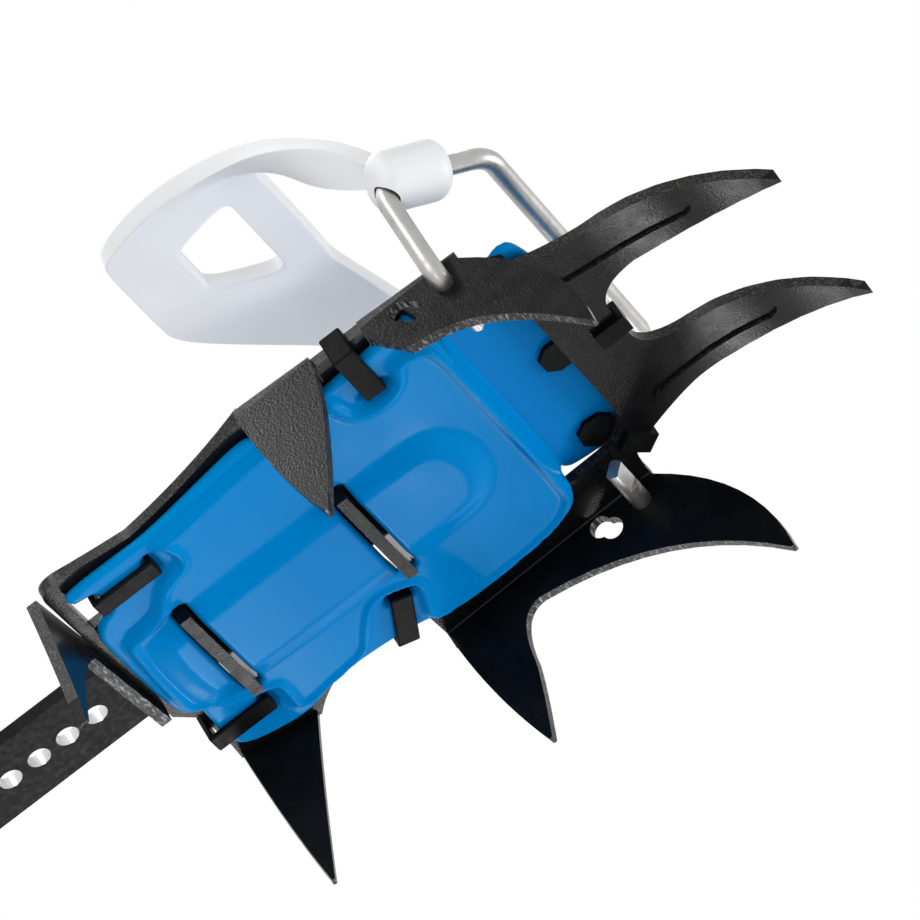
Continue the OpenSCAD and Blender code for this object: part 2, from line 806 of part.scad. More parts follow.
module harness_band() {
    front = both_halves([for (p = harness_front) [p[0], p[1], bail_top + p[2] * harness_h]]);
    rear = both_halves([for (p = harness_rear) [p[0], p[1], bail_top + p[2] * harness_h]]);
    last = len(front) - 1;
    along = [for (i = [0:last]) (front[min(i + 1, last)] + rear[min(i + 1, last)])
        - (front[max(i - 1, 0)] + rear[max(i - 1, 0)])];
    out = [for (i = [0:last]) harness_t * unit(cross(along[i], rear[i] - front[i]))];
    points = [for (i = [0:last]) each [front[i], rear[i], rear[i] - out[i], front[i] - out[i]]];
    sides = [for (i = [0:last - 1]) for (k = [0:3])
        each let (a = 4 * i + k, b = 4 * i + (k + 1) % 4) [[a, b, b + 4], [a, b + 4, a + 4]]];
    ends = [[0, 2, 1], [0, 3, 2], [4 * last, 4 * last + 1, 4 * last + 2], [4 * last, 4 * last + 2, 4 * last + 3]];
    polyhedron(points, concat(sides, ends));
}

module toe_harness() {
    color([0.93, 0.93, 0.94])
        difference() {
            union() {
                harness_band();
                for (side = [1, -1])
                    mirror([0, side < 0 ? 1 : 0, 0])
                        barrel();
            }
            bent_wire(bail_path, bail_bends, wire_r + seat_gap / 2);
            linear_extrude(3 * bail_h + point_drop)
                polygon([
                    [window_rear[0], -window_rear[1]], [window_rear[0], window_rear[1]],
                    [window_front[0], window_front[1]], [window_front[0], -window_front[1]]
                ]);
        }
}

toe_frame();
mid_cross_rib();
rear_cross_rib();
antiball_plate();
front_clip();
front_clip_right();
front_clip_left();
side_clip_right();
side_clip_left();
rear_clip_right();
rear_clip_left();
linking_bar();
toe_bail();
toe_harness();
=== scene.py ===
import bmesh
import bpy
import numpy as np
from mathutils import Matrix, Vector
from mathutils.bvhtree import BVHTree


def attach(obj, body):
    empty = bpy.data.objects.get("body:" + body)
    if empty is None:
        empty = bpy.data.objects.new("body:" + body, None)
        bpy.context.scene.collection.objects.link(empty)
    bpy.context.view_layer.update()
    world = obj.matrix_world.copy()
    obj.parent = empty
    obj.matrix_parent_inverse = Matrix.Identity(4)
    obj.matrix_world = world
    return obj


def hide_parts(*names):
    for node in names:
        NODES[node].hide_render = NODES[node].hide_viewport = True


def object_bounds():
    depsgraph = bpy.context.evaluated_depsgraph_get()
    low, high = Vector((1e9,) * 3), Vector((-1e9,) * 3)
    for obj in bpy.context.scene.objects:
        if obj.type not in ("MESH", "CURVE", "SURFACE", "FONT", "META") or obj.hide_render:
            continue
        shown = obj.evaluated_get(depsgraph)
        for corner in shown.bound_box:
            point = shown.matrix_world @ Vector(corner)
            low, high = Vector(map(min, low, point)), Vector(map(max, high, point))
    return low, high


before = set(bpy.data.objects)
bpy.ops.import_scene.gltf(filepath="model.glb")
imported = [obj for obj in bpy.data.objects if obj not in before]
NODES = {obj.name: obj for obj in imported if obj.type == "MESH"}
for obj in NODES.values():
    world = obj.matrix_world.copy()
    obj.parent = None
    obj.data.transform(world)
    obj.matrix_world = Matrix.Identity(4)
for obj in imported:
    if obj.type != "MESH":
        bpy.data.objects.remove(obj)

CAD_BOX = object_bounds()
MM = 0.001
IMAGE = 920

# Sizes of the solids that the looks follow, in millimetres, and the axis of the front points' sweep
BAR_HOLES = np.linspace(-113.7, -202.5, 13)
BAR_HOLE_R = 2.6
EDGE_DEPTH = 3.4
CLIP_ROUND = 0.45
SWEEP = Vector((25, 0, -64)) * MM

# Lamps: name, place, target and size in metres, and power in watts
LAMPS = [
    ("top_box", (-0.2, 0.3, 1.0), (-0.05, 0, 0), (0.9, 0.9), 6),
    ("main_box", (0.35, 0.4, -1.0), (-0.03, 0, 0), (0.5, 0.5), 1.4),
    ("toe_box", (0.9, 0.35, -0.4), (0, 0, 0), (0.4, 0.4), 6.5),
    ("plate_box", (-0.12, 0.707, -0.609), (-0.03, -0.015, -0.009), (0.04, 0.03), 0.15),
    ("blade_box", (-0.28, 0.85, -0.64), (0.03, 0, 0), (0.15, 0.15), 1.5),
    ("tip_box", (-0.66, 0.85, -0.33), (0.05, 0, 0), (0.2, 0.2), 1.1),
    ("edge_box", (-0.1, -0.6, -0.85), (-0.03, 0, 0), (0.15, 0.15), 1.0),
    ("fill_box", (-0.3, -1.2, -0.1), (-0.05, 0, 0), (0.9, 0.9), 4.5),
    ("side_strip", (-0.16, -0.57, 0.59), (-0.043, -0.05, -0.02), (0.1, 0.3), 2),
]
AMBIENT = 0.3
FLOOR_HALF = 6.0
FLOOR_GAP = 0.0002
FLOOR_COLOUR = (0.86, 0.86, 0.86, 1)
# Part of the noise's range that a material's values are spread over
NOISE_SPAN = (0.3, 0.7)


def make_camera():
    """Camera fitted to the photograph, from the image's right, down and view directions."""
    right = Vector((0.792688, 0.438863, -0.423137))
    down = Vector((-0.603206, 0.464152, -0.648619))
    ahead = Vector((-0.088255, 0.769391, 0.632652))
    place = Vector((0.113137, -1.178399, -0.974799))
    focal = 7518.75
    data = bpy.data.cameras.new("photo_camera")
    data.sensor_width = 36
    data.lens = focal * data.sensor_width / IMAGE
    data.clip_end = 20
    camera = bpy.data.objects.new("photo_camera", data)
    matrix = Matrix((right, -down, -ahead)).transposed().to_4x4()
    matrix.translation = place
    camera.matrix_world = matrix
    bpy.context.scene.collection.objects.link(camera)
    bpy.context.scene.camera = camera


def make_lamp(name, place, target, size, power):
    data = bpy.data.lights.new(name, "AREA")
    data.shape = "RECTANGLE"
    data.size, data.size_y = size
    data.energy = power
    lamp = bpy.data.objects.new(name, data)
    lamp.location = place
    lamp.rotation_euler = (Vector(target) - Vector(place)).to_track_quat("-Z", "Y").to_euler()
    bpy.context.scene.collection.objects.link(lamp)


def add_rays(tree, path, value, rays):
    """A value of 0 or 1, raised to 1 for the given kinds of rays."""
    for ray in rays:
        either = tree.nodes.new("ShaderNodeMath")
        either.operation = "MAXIMUM"
        tree.links.new(value, either.inputs[0])
        tree.links.new(path.outputs[ray], either.inputs[1])
        value = either.outputs[0]
    return value


def map_range(tree, value, source, target=(0, 1)):
    node = tree.nodes.new("ShaderNodeMapRange")
    for name, number in zip(("From Min", "From Max", "To Min", "To Max"), (*source, *target)):
        node.inputs[name].default_value = number
    tree.links.new(value, node.inputs["Value"])
    return node.outputs[0]


def make_world():
    """White to the camera and in reflections, dimmer as a light."""
    world = bpy.data.worlds.new("studio")
    bpy.context.scene.world = world
    world.use_nodes = True
    tree = world.node_tree
    tree.nodes.clear()
    out = tree.nodes.new("ShaderNodeOutputWorld")
    back = tree.nodes.new("ShaderNodeBackground")
    back.inputs["Color"].default_value = (1, 1, 1, 1)
    path = tree.nodes.new("ShaderNodeLightPath")
    seen = add_rays(tree, path, path.outputs["Is Camera Ray"], ("Is Glossy Ray", "Is Transmission Ray"))
    tree.links.new(map_range(tree, seen, (0, 1), (AMBIENT, 1)), back.inputs["Strength"])
    tree.links.new(back.outputs[0], out.inputs[0])


def make_floor():
    """Floor under the points, seen from above only, so that the view from below stays open."""
    mesh = bpy.data.meshes.new("floor")
    low = CAD_BOX[0][2] - FLOOR_GAP
    corners = ((-1, -1), (1, -1), (1, 1), (-1, 1))
    mesh.from_pydata([(FLOOR_HALF * x, FLOOR_HALF * y, low) for x, y in corners], [], [(0, 1, 2, 3)])
    floor = bpy.data.objects.new("floor", mesh)
    bpy.context.scene.collection.objects.link(floor)
    material = bpy.data.materials.new("floor")
    material.use_nodes = True
    tree = material.node_tree
    tree.nodes.clear()
    out = tree.nodes.new("ShaderNodeOutputMaterial")
    cover = tree.nodes.new("ShaderNodeBsdfDiffuse")
    cover.inputs["Color"].default_value = FLOOR_COLOUR
    clear = tree.nodes.new("ShaderNodeBsdfTransparent")
    side = tree.nodes.new("ShaderNodeNewGeometry")
    path = tree.nodes.new("ShaderNodeLightPath")
    open_way = add_rays(tree, path, side.outputs["Backfacing"], ("Is Shadow Ray", "Is Glossy Ray"))
    mix = tree.nodes.new("ShaderNodeMixShader")
    tree.links.new(open_way, mix.inputs["Fac"])
    tree.links.new(cover.outputs[0], mix.inputs[1])
    tree.links.new(clear.outputs[0], mix.inputs[2])
    tree.links.new(mix.outputs[0], out.inputs["Surface"])
    mesh.materials.append(material)


# Materials
def new_material(name, **values):
    material = bpy.data.materials.new(name)
    material.use_nodes = True
    tree = material.node_tree
    tree.nodes.clear()
    out = tree.nodes.new("ShaderNodeOutputMaterial")
    shader = tree.nodes.new("ShaderNodeBsdfPrincipled")
    tree.links.new(shader.outputs[0], out.inputs["Surface"])
    for key, value in values.items():
        shader.inputs[key.replace("_", " ")].default_value = value
    return material, tree, shader


def noise(tree, scale, detail, stretch=None):
    place = tree.nodes.new("ShaderNodeTexCoord").outputs["Object"]
    if stretch:
        mapping = tree.nodes.new("ShaderNodeMapping")
        mapping.inputs["Scale"].default_value = stretch
        tree.links.new(place, mapping.inputs["Vector"])
        place = mapping.outputs[0]
    node = tree.nodes.new("ShaderNodeTexNoise")
    node.inputs["Scale"].default_value = scale
    node.inputs["Detail"].default_value = detail
    tree.links.new(place, node.inputs["Vector"])
    return node.outputs["Fac"]


def colour_range(tree, shader, factor, low, high):
    ramp = tree.nodes.new("ShaderNodeValToRGB")
    for element, position, colour in zip(ramp.color_ramp.elements, NOISE_SPAN, (low, high)):
        element.position = position
        element.color = (*colour, 1)
    tree.links.new(factor, ramp.inputs["Fac"])
    tree.links.new(ramp.outputs["Color"], shader.inputs["Base Color"])


def roughness_range(tree, shader, factor, low, high):
    tree.links.new(map_range(tree, factor, NOISE_SPAN, (low, high)), shader.inputs["Roughness"])


def bump(tree, shader, height, strength, distance):
    node = tree.nodes.new("ShaderNodeBump")
    node.inputs["Strength"].default_value = strength
    node.inputs["Distance"].default_value = distance
    tree.links.new(height, node.inputs["Height"])
    tree.links.new(node.outputs["Normal"], shader.inputs["Normal"])


def powder_coat():
    material, tree, shader = new_material("powder_coat", Specular_IOR_Level=0.1)
    colour_range(tree, shader, noise(tree, 90, 3), (0.003, 0.003, 0.0035), (0.007, 0.007, 0.0075))
    roughness_range(tree, shader, noise(tree, 260, 2), 0.2, 0.28)
    bump(tree, shader, noise(tree, 1900, 1), 0.5, 0.00007)
    return material


def sheared_edge(worn_and_lit_below=(-0.35, -0.75), streaky=(0.5, 0.74)):
    """Cut edges: dark and streaky, paler where they face down, partly for bare metal worn by the ground and
    partly as a painted highlight of the lamps below.
    """
    material, tree, shader = new_material("sheared_edge", Specular_IOR_Level=0.2)
    streaks = noise(tree, 1700, 4, (1.3, 0.3, 1.3))
    # Paler colour where the edges face down: partly bare worn metal, partly painted highlight.
    bare = tree.nodes.new("ShaderNodeMix")
    bare.data_type = "RGBA"
    bare.inputs["A"].default_value = (0.1, 0.096, 0.092, 1)
    bare.inputs["B"].default_value = (0.4, 0.4, 0.41, 1)
    facing = tree.nodes.new("ShaderNodeSeparateXYZ")
    tree.links.new(tree.nodes.new("ShaderNodeNewGeometry").outputs["Normal"], facing.inputs[0])
    tree.links.new(map_range(tree, facing.outputs["Z"], worn_and_lit_below), bare.inputs["Factor"])
    colour = tree.nodes.new("ShaderNodeMix")
    colour.data_type = "RGBA"
    colour.inputs["A"].default_value = (0.008, 0.0075, 0.007, 1)
    tree.links.new(map_range(tree, streaks, streaky), colour.inputs["Factor"])
    tree.links.new(bare.outputs["Result"], colour.inputs["B"])
    tree.links.new(colour.outputs["Result"], shader.inputs["Base Color"])
    roughness_range(tree, shader, noise(tree, 500, 2), 0.28, 0.42)
    bump(tree, shader, streaks, 0.4, 0.00012)
    return material


def blue_plastic():
    material, tree, shader = new_material(
        "blue_plastic", Specular_IOR_Level=0.03, Specular_Tint=(0.0, 0.5, 1.0, 1),
    )
    colour_range(tree, shader, noise(tree, 28, 2), (0.0, 0.236, 0.59), (0.0, 0.251, 0.625))
    roughness_range(tree, shader, noise(tree, 140, 2), 0.13, 0.17)
    bump(tree, shader, noise(tree, 900, 2), 0.025, 0.00005)
    return material


def black_satin():
    material, tree, shader = new_material("black_satin", Specular_IOR_Level=0.03)
    colour_range(tree, shader, noise(tree, 200, 3), (0.004, 0.004, 0.004), (0.009, 0.009, 0.009))
    roughness_range(tree, shader, noise(tree, 700, 2), 0.26, 0.38)
    bump(tree, shader, noise(tree, 1800, 2), 0.1, 0.00004)
    return material


def bare_steel():
    material, tree, shader = new_material("bare_steel", Metallic=1.0)
    colour_range(tree, shader, noise(tree, 120, 3), (0.55, 0.55, 0.55), (0.75, 0.75, 0.75))
    roughness_range(tree, shader, noise(tree, 900, 2), 0.25, 0.4)
    bump(tree, shader, noise(tree, 1500, 2), 0.15, 0.00005)
    return material


def satin_wire():
    material, tree, shader = new_material("satin_wire", Metallic=1.0)
    colour_range(tree, shader, noise(tree, 150, 4), (0.36, 0.355, 0.345), (0.46, 0.455, 0.445))
    roughness_range(tree, shader, noise(tree, 800, 3, (1, 1, 0.12)), 0.34, 0.44)
    bump(tree, shader, noise(tree, 1600, 3, (1, 1, 0.1)), 0.15, 0.00004)
    return material


def white_plastic():
    material, tree, shader = new_material("white_plastic", Specular_IOR_Level=0.4)
    colour_range(tree, shader, noise(tree, 22, 2), (0.79, 0.795, 0.81), (0.83, 0.835, 0.85))
    roughness_range(tree, shader, noise(tree, 180, 2), 0.42, 0.52)
    bump(tree, shader, noise(tree, 700, 2), 0.08, 0.00006)
    return material


# Dressing of the solids
def paint(name, material):
    node = NODES[name]
    node.data.materials.clear()
    node.data.materials.append(material)
    return node


def mark_edges(node, material, depth, start=1e-5):
    """Cut edges of a sheet: the faces with more metal behind them than the sheet is thick."""
    mesh = node.data
    mesh.materials.append(material)
    index = len(mesh.materials) - 1
    points = [v.co.copy() for v in mesh.vertices]
    tree = BVHTree.FromPolygons(points, [tuple(p.vertices) for p in mesh.polygons])
    for face in mesh.polygons:
        hit = tree.ray_cast(face.center - face.normal * start, -face.normal)
        if hit[0] is None or hit[3] > depth:
            face.material_index = index


def mark_holes(node, material, margin=0.3, upright=0.3):
    """Walls of the bar's length holes: they get the bare steel material instead of the black coat."""
    mesh = node.data
    mesh.materials.append(material)
    index = len(mesh.materials) - 1
    for face in mesh.polygons:
        near = min(abs(face.center.x - x * MM) for x in BAR_HOLES)
        if abs(face.normal.z) < upright and np.hypot(near, face.center.y) < (BAR_HOLE_R + margin) * MM:
            face.material_index = index


def plain_normals(mesh):
    """Clears the flags and normals that came with a mesh, so that shading starts from its faces."""
    for face in mesh.polygons:
        face.use_smooth = True
    for edge in mesh.edges:
        edge.use_edge_sharp = False
    if "custom_normal" in mesh.attributes:
        mesh.attributes.remove(mesh.attributes["custom_normal"])


def crisp(node, sweep=None, limit=0.88, cells=1e5, sideways=0.02, upward=0.8):
    """Keeps flat faces flat and round ones round; swept faces take the normals of their sweep.

    A corner shares its normal with the faces at its spot whose cosine to its own is over the limit.
    """
    mesh = node.data
    plain_normals(mesh)
    spots = [tuple(round(c * cells) for c in v.co) for v in mesh.vertices]
    near = {}
    for face in mesh.polygons:
        for v in face.vertices:
            near.setdefault(spots[v], []).append((face.normal.copy(), face.area))
    normals = []
    for face in mesh.polygons:
        own = face.normal
        swept = sweep and face.center.x > sweep.x and abs(own.y) < sideways and abs(own.z) > upward
        for v in face.vertices:
            if swept:
                out = mesh.vertices[v].co - sweep
                out.y = 0
                total = out if own.z > 0 else -out
            else:
                total = sum((n * a for n, a in near[spots[v]] if n.dot(own) > limit), Vector())
            normals.append(total.normalized())
    mesh.normals_split_custom_set(normals)


def round_edges(node, width, segments=3, same=1e-5, flat_angle=0.002, edge_angle=0.6):
    plain_normals(node.data)
    weld = node.modifiers.new("weld", "WELD")
    weld.merge_threshold = same
    flat = node.modifiers.new("flat", "DECIMATE")
    flat.decimate_type = "DISSOLVE"
    flat.angle_limit = flat_angle
    bevel = node.modifiers.new("bevel", "BEVEL")
    bevel.width = width
    bevel.segments = segments
    bevel.limit_method = "ANGLE"
    bevel.angle_limit = edge_angle
    bevel.harden_normals = True


def new_piece(name, points, polygons, material, same=0.00002):
    """Smooth piece from points in millimetres."""
    mesh = bpy.data.meshes.new(name)
    places = [tuple(MM * float(c) for c in p) for p in points]
    mesh.from_pydata(places, [], [list(map(int, f)) for f in polygons])
    tool = bmesh.new()
    tool.from_mesh(mesh)
    bmesh.ops.remove_doubles(tool, verts=tool.verts, dist=same)
    bmesh.ops.recalc_face_normals(tool, faces=tool.faces)
    tool.to_mesh(mesh)
    tool.free()
    mesh.materials.append(material)
    for face in mesh.polygons:
        face.use_smooth = True
    piece = bpy.data.objects.new(name, mesh)
    bpy.context.scene.collection.objects.link(piece)
    return piece


# Moulded plate: outlines in plan and heights, in millimetres
def chaikin(points, passes=2):
    """A closed outline with its corners cut off, pass by pass."""
    p = np.asarray(points, float)
    for _ in range(passes):
        q = np.roll(p, -1, 0)
        p = np.stack([0.75 * p + 0.25 * q, 0.25 * p + 0.75 * q], 1).reshape(-1, 2)
    return p


def inside_distance(x, y, outline):
    """Distance of each point to a closed outline, positive inside."""
    best = np.full(x.shape, 1e9)
    inside = np.zeros(x.shape, bool)
    for (ax, ay), (bx, by) in zip(outline, np.roll(outline, -1, 0)):
        dx, dy = bx - ax, by - ay
        t = np.clip(((x - ax) * dx + (y - ay) * dy) / (dx * dx + dy * dy + 1e-12), 0, 1)
        best = np.minimum(best, np.hypot(x - ax - t * dx, y - ay - t * dy))
        crosses = (ay > y) != (by > y)
        inside ^= crosses & (x < dx * (y - ay) / (dy if abs(dy) > 1e-9 else 1e-9) + ax)
    return np.where(inside, best, -best)


def rise(t):
    """Smooth step from 0 to 1."""
    t = np.clip(t, 0, 1)
    return t * t * (3 - 2 * t)


def slot_distance(x, y, middle, half, wide, turn, r):
    """Distance to a turned rectangle with round corners, positive outside."""
    c, s = np.cos(np.radians(turn)), np.sin(np.radians(turn))
    dx, dy = x - middle[0], y - middle[1]
    qx = np.abs(c * dx + s * dy) - half + r
    qy = np.abs(c * dy - s * dx) - wide + r
    return np.hypot(np.maximum(qx, 0), np.maximum(qy, 0)) + np.minimum(np.maximum(qx, qy), 0) - r


PLATE = chaikin([
    (-8.7, -42), (-8.7, 27), (-9.2, 31.4), (-11, 35.4), (-15, 37.6), (-22, 39.2), (-30, 39.7), (-41, 39.6),
    (-47.6, 39), (-49.4, 36.6), (-58, 34.8), (-66, 34), (-73, 34), (-79, 36.6), (-85, 36.8), (-95.6, 33.6),
    (-97.8, 29), (-97.2, 19), (-97, 13.9), (-101.3, 13.6), (-101.4, -20), (-100.4, -24), (-97, -27),
    (-94.4, -27.6), (-94.4, -34.8), (-97.6, -35.4), (-101.2, -36.2), (-101.4, -37.4), (-98, -39), (-88, -39),
    (-79, -38.8), (-65, -41.4), (-51, -44), (-49, -41.2), (-31, -41.1), (-19, -42.6), (-13, -44.4),
])
PANEL = chaikin([
    (-9.6, -32.5), (-9.6, -2), (-9.6, 26), (-10.4, 31), (-13.4, 34.2), (-18, 36.2), (-30, 37.4), (-44, 37.2),
    (-48.6, 36), (-49.6, 34), (-47.2, 27.5), (-46.3, 22.8), (-49, 21), (-52.7, 19.4), (-55.6, 19.4),
    (-58, 22.3), (-60.2, 25.8), (-63.6, 31.2), (-73, 32), (-79, 33.4), (-82, 32.4), (-82.8, 30.4),
    (-82.1, 23.4), (-82.9, 21.1), (-91.5, 18.4), (-95.5, 13.6), (-99, 11.8), (-99.4, 9), (-99.4, -1.2),
    (-98.8, -10.2), (-98.4, -16), (-97.3, -17.9), (-94.1, -18.2), (-90.4, -18.7), (-87.8, -20.8),
    (-85, -25.2), (-81.6, -26.4), (-77.8, -27.7), (-77.6, -31), (-78.5, -34.8), (-80.4, -36.4), (-70, -37.6),
    (-60, -39.2), (-50, -40.2), (-34.4, -39.6), (-32.4, -36.4), (-31.3, -31.8), (-26, -29.8), (-20.9, -31.6),
    (-19.4, -36.4), (-17, -37.4), (-12, -36),
])
SHELF = chaikin([
    (-11, -27.6), (-9.6, -27.6), (-8.6, -31.6), (-6, -33.4), (8.6, -34.4), (11, -36), (14.2, -35.4), (15.4, -31),
    (16.4, -24), (18.95, -16), (18.95, 18), (18.8, 26), (16.6, 32), (12.4, 35), (8.6, 34.4), (-6, 33.4),
    (-8.6, 31.6), (-9.6, 27.6), (-11, 27.6),
])
DOME = chaikin([
    (-16, -6), (-16, 6), (-22, 15.6), (-34, 16.6), (-92, 16.6), (-98, 12), (-98, -12), (-92, -17.4), (-34, -17.4),
    (-22, -16),
])
# Slots for the ribs and dents for the clips' lips: middle, half length, half width, turn, corner radius
SLOTS = [((-45, 0), 17.8, 2.1, 90, 1.4), ((-85, 0), 17.8, 1.9, 90, 1.4)]
DENTS = [
    ((-25, -33), 3.2, 1.5, 0, 1.2), ((-82.2, -31.4), 3.2, 1.5, 90, 1.2),
    ((-85.7, 25.5), 3.2, 1.5, 90, 1.2), ((-50.8, 24.3), 3.2, 1.5, 22, 1.2),
]
RIM_LOW, PANEL_D, DOME_D, THICK, SHELF_LOW = -5.0, 1.6, 1.7, 2.4, 1.4
# Where the step to the shelf begins and ends in x, and where the panel's bead ends
STEP = (-9.6, -7.8)
BEAD_END = STEP[0] + 1
# Slope round the panel: its width, the share of it outside the outline, and what it gains on the right
PANEL_SLOPE, PANEL_OUT, RIGHT_GAIN, RIGHT_Y, RIGHT_RUN = 1.2, 0.4, 3.0, -33, 6
# Bead inside the panel's edge: height, distance from the edge and half width
BEAD_H, BEAD_IN, BEAD_W = 0.7, 0.9, 0.75
# Dents: depth, width of the slope and the share of it outside the outline
DENT_D, DENT_SLOPE, DENT_OUT = 1.8, 0.8, 0.6
# Slope of the dome, and on the upper side how far the panel's and the dome's slopes lie inside
DOME_SLOPE, TOP_SLOPE, TOP_PANEL_IN, TOP_DOME_IN = 7.0, 2.0, 1.0, 1.4
# Grid lines in x, closer at the step, and in y: start, end and spacing
GRID_X = ((-102, -12, 0.6), (-12, -5, 0.3), (-5, 19.6, 1.2))
GRID_Y = (-45, 41, 0.6)


def plate_inside(x, y):
    d = np.maximum(inside_distance(x, y, PLATE), inside_distance(x, y, SHELF))
    for slot in SLOTS:
        d = np.minimum(d, slot_distance(x, y, *slot))
    return d


def plate_low(x, y):
    panel = inside_distance(x, y, PANEL)
    width = PANEL_SLOPE + RIGHT_GAIN * rise((RIGHT_Y - y) / RIGHT_RUN)
    low = RIM_LOW - PANEL_D * rise(panel / width + PANEL_OUT)
    low -= BEAD_H * np.exp(-(((panel - BEAD_IN) / BEAD_W) ** 2)) * (x < BEAD_END)
    low -= DOME_D * rise(inside_distance(x, y, DOME) / DOME_SLOPE)
    for dent in DENTS:
        low += DENT_D * rise(DENT_OUT - slot_distance(x, y, *dent) / DENT_SLOPE)
    return low + (SHELF_LOW - low) * rise((x - STEP[0]) / (STEP[1] - STEP[0]))


def plate_top(x, y):
    top = RIM_LOW + THICK - PANEL_D * rise((inside_distance(x, y, PANEL) - TOP_PANEL_IN) / TOP_SLOPE)
    top -= DOME_D * rise((inside_distance(x, y, DOME) - TOP_DOME_IN) / DOME_SLOPE)
    return top + (SHELF_LOW + THICK - top) * rise((x - STEP[0] + THICK) / (STEP[1] - STEP[0]))


def moulded_plate(material, edge=1.0, steps=4, probe=0.1):
    """A moulded sheet between two heights, with rounded edges all round."""
    xs = np.concatenate([np.arange(*span) for span in GRID_X])
    ys = np.arange(*GRID_Y)
    gx, gy = np.meshgrid(xs, ys, indexing="ij")
    field = plate_inside(gx, gy) - edge
    inside = field > 0
    flat, ids, faces, borders = [], {}, [], []

    def vertex(key, x, y):
        if key not in ids:
            ids[key] = len(flat)
            flat.append((x, y))
        return ids[key]

    # Cells of the grid, cut where the outline crosses them
    cells = inside[:-1, :-1] | inside[1:, :-1] | inside[:-1, 1:] | inside[1:, 1:]
    for i, j in zip(*np.nonzero(cells)):
        corners = [(i, j), (i + 1, j), (i + 1, j + 1), (i, j + 1)]
        face, cut = [], []
        for a, b in zip(corners, corners[1:] + corners[:1]):
            if inside[a]:
                face.append(vertex(a, xs[a[0]], ys[a[1]]))
                cut.append(False)
            if inside[a] != inside[b]:
                k = field[a] / (field[a] - field[b])
                x = xs[a[0]] + k * (xs[b[0]] - xs[a[0]])
                y = ys[a[1]] + k * (ys[b[1]] - ys[a[1]])
                face.append(vertex((min(a, b), max(a, b)), x, y))
                cut.append(True)
        if len(face) < 3:
            continue
        faces.append(face)
        for n in range(len(face)):
            m = (n + 1) % len(face)
            if cut[n] and cut[m]:
                borders.append((face[n], face[m]))
    px, py = np.array(flat).T
    low, top = plate_low(px, py), plate_top(px, py)
    count = len(flat)
    points = list(zip(px, py, low)) + list(zip(px, py, top))
    polygons = [f[::-1] for f in faces] + [[v + count for v in f] for f in faces]

    # Rounded edge: rings of points from the lower side round to the upper one
    rim = sorted({v for pair in borders for v in pair})
    rx, ry = px[rim], py[rim]
    nx = plate_inside(rx - probe, ry) - plate_inside(rx + probe, ry)
    ny = plate_inside(rx, ry - probe) - plate_inside(rx, ry + probe)
    size = np.hypot(nx, ny) + 1e-9
    nx, ny = nx / size, ny / size
    rings = {v: [v] for v in rim}
    turns = [np.pi / 2 * k / steps for k in range(1, steps + 1)]
    for base, sign, order in ((low, 1, turns), (top, -1, turns[::-1])):
        for a in order:
            for n, v in enumerate(rim):
                rings[v].append(len(points))
                out, up = edge * np.sin(a), sign * edge * (1 - np.cos(a))
                points.append((rx[n] + out * nx[n], ry[n] + out * ny[n], base[v] + up))
    for v in rim:
        rings[v].append(v + count)
    for a, b in borders:
        for k in range(len(rings[a]) - 1):
            polygons.append((rings[a][k], rings[b][k], rings[b][k + 1], rings[a][k + 1]))
    return new_piece("moulded_plate", points, polygons, material)


# Harness: a curved band with a strap window, joined to a barrel on each shoulder of the bail
BAIL_TOP, HARNESS_H, HARNESS_T = 22.0, 64.0, 4.2
# Sections of the band from its middle to the left shoulder: x, y and the share of the height
BAND = [
    [(-22, 0, 0.885), (-31, 0, 0.917), (-47, 0, 0.957), (-61, 0, 1.0)],
    [(-22, 14, 0.88), (-31, 15.4, 0.912), (-47, 8, 0.957), (-61, 9.5, 1.0)],
    [(-22.2, 18.4, 0.87), (-31.6, 22.4, 0.9), (-46.6, 19.6, 0.945), (-60.6, 17.6, 0.985)],
    [(-19.8, 25.4, 0.815), (-28.4, 26.8, 0.845), (-38, 27.8, 0.87), (-47.4, 28.4, 0.892)],
    [(-16, 31, 0.69), (-22.4, 32.6, 0.73), (-28.8, 33.9, 0.765), (-35, 35.1, 0.79)],
    [(-12, 35.5, 0.51), (-14.6, 37.8, 0.56), (-17.2, 39.8, 0.605), (-19.6, 41.7, 0.64)],
    [(-8, 39.5, 0.3), (-8.4, 41.4, 0.36), (-8.8, 43.2, 0.42), (-9, 45, 0.465)],
    [(-2, 43.5, 0.12), (-1.4, 45, 0.17), (-0.7, 46.5, 0.215), (0, 48, 0.26)],
    [(6, 45.5, 0.0), (5.7, 46.8, 0.02), (5.3, 48.2, 0.04), (5, 49.5, 0.06)],
]
# Extra sections after the first two, as shares of the way to the next one
BAND_SPLITS = {0: (0, 0.7), 1: (0, 0.4)}
# Rows along the band: two points of a section and the share of the way between them
BAND_ROWS = (
    (0, 1, 0), (0, 1, 0.22), (0, 1, 0.78), (1, 2, 0), (2, 3, 0), (2, 3, 0.2), (2, 3, 0.8), (2, 3, 1.0),
)
WINDOW_ROW, WINDOW_HALF = 3, 2
BARREL = ((-0.83, 52.2, 22.0), (13.0, 43.0, 22.0))
BARREL_R, BARREL_ROUND = 6.5, 4.0
LEG, BOW = (0, 51.67, 22.0), (20.6, 38.0, 22.0)
WIRE_R, WIRE_BEND, BORE_GAP = 2.2, 7.0, 0.5


def band_mesh():
    half = np.array(BAND)
    half[:, :, 2] = BAIL_TOP + half[:, :, 2] * HARNESS_H
    left = []
    for n in range(len(half) - 1):
        left += [half[n] + k * (half[n + 1] - half[n]) for k in BAND_SPLITS.get(n, (0,))]
    left.append(half[-1])
    right = [c * np.array((1, -1, 1)) for c in left[:0:-1]]
    columns = right + left
    middle = len(right)
    wide = len(BAND_ROWS)
    points = [c[a] + k * (c[b] - c[a]) for c in columns for a, b, k in BAND_ROWS]
    polygons = []
    for i in range(len(columns) - 1):
        for j in range(wide - 1):
            if j == WINDOW_ROW and middle - WINDOW_HALF <= i < middle + WINDOW_HALF:
                continue
            a = i * wide + j
            polygons.append((a, a + 1, a + wide + 1, a + wide))
    return points, polygons


